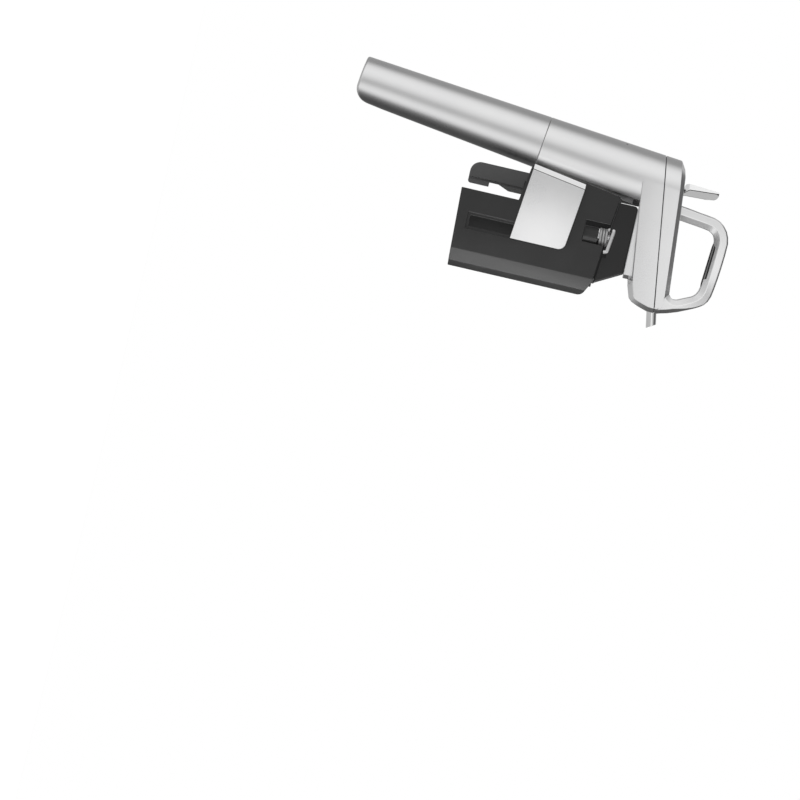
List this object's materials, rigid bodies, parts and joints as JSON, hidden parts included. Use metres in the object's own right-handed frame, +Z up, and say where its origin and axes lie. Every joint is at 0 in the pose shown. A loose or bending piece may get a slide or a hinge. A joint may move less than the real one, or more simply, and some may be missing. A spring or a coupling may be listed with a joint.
{
  "type": "wine preservation dispenser",
  "caption": "Hand-held wine dispenser: neck clamp with sprung arms, sliding head with hollow needle, gas handle, trigger, finger loop and spout.",
  "frame": {"origin": "on the needle's axis, at the plane where the bottle's lip seats", "axes": "+Z up along the needle towards the head, +X towards the spout, the left arm on +Y"},
  "size_m": [0.1107, 0.0422, 0.2174],
  "materials": {
    "satin_metal": "satin brushed",
    "polished_steel": "polished",
    "steel": "plain",
    "brass": "turned",
    "black_nylon": "fine moulded texture",
    "black_rubber": "matt"
  },
  "bodies": {
    "clamp_base": {"clamp_base": "black_nylon", "lip_pad": "black_rubber", "needle_guide": "polished_steel", "pivot_pin_left": "steel", "pivot_pin_right": "steel", "arm_spring_left": "steel", "arm_spring_right": "steel"},
    "head": {"body_casting": "satin_metal", "loop_cover": "satin_metal", "loop_grip_insert": "black_rubber", "rail": "black_nylon", "rail_screw_1": "steel", "rail_screw_2": "steel", "cover_screw_1": "steel", "cover_screw_2": "steel", "needle": "polished_steel", "needle_hub": "brass", "needle_o_ring": "black_rubber", "wine_tube": "steel", "spout": "polished_steel", "gas_line": "brass", "trigger_pin": "steel", "trigger_spring": "steel", "valve_body": "brass", "valve_spring": "steel", "stem_o_ring": "black_rubber", "regulator_body": "brass", "regulator_piston": "brass", "regulator_spring": "steel", "piercer": "steel", "capsule_seal": "black_rubber", "thread_collar": "brass"},
    "trigger": {"trigger": "polished_steel"},
    "valve": {"valve_stem": "steel"},
    "capsule": {"gas_capsule": "steel"},
    "cup": {"capsule_cup": "satin_metal", "cup_pad": "black_rubber"},
    "arm_left": {"arm_left": "black_nylon", "side_plate_left": "satin_metal", "neck_pad_left": "black_rubber"},
    "arm_right": {"arm_right": "black_nylon", "side_plate_right": "satin_metal", "neck_pad_right": "black_rubber"}
  },
  "joints": [
    {"name": "needle_travel", "type": "slide", "parent": "clamp_base", "child": "head", "axis": [0, 0, 1], "range_m": [0, 0.052]},
    {"name": "trigger_pull", "type": "hinge", "parent": "head", "child": "trigger", "pos_m": [-0.049, 0, 0.029], "axis": [0, 1, 0], "range_deg": [0, 10], "stiffness_Nm_per_rad": 0.3, "springref_deg": -11.46},
    {"name": "valve_push", "type": "slide", "parent": "head", "child": "valve", "axis": [0, 0, -1], "range_m": [0, 0.00122], "deforming": ["valve_spring"]},
    {"name": "capsule_feed", "type": "slide", "parent": "head", "child": "capsule", "axis": [-0.1167, 0, -0.9932], "range_m": [0, 0.006]},
    {"name": "cup_turn", "type": "hinge", "parent": "capsule", "child": "cup", "pos_m": [-0.0531, 0, 0], "axis": [-0.1167, 0, -0.9932], "range_deg": [0, 1080]},
    {"name": "arm_left_swing", "type": "hinge", "parent": "clamp_base", "child": "arm_left", "pos_m": [-0.0148, 0.0135, 0], "axis": [0, 0, 1], "range_deg": [0, 12], "stiffness_Nm_per_rad": 0.15, "springref_deg": -20.05},
    {"name": "arm_right_swing", "type": "hinge", "parent": "clamp_base", "child": "arm_right", "pos_m": [-0.0148, -0.0135, 0], "axis": [0, 0, -1], "range_deg": [0, 12], "stiffness_Nm_per_rad": 0.15, "springref_deg": -20.05}
  ],
  "couplings": [
    {"joint": "trigger_pull", "follows": "valve_push", "rad_per_m": 142.86},
    {"joint": "cup_turn", "follows": "capsule_feed", "rad_per_m": 3141.6}
  ]
}
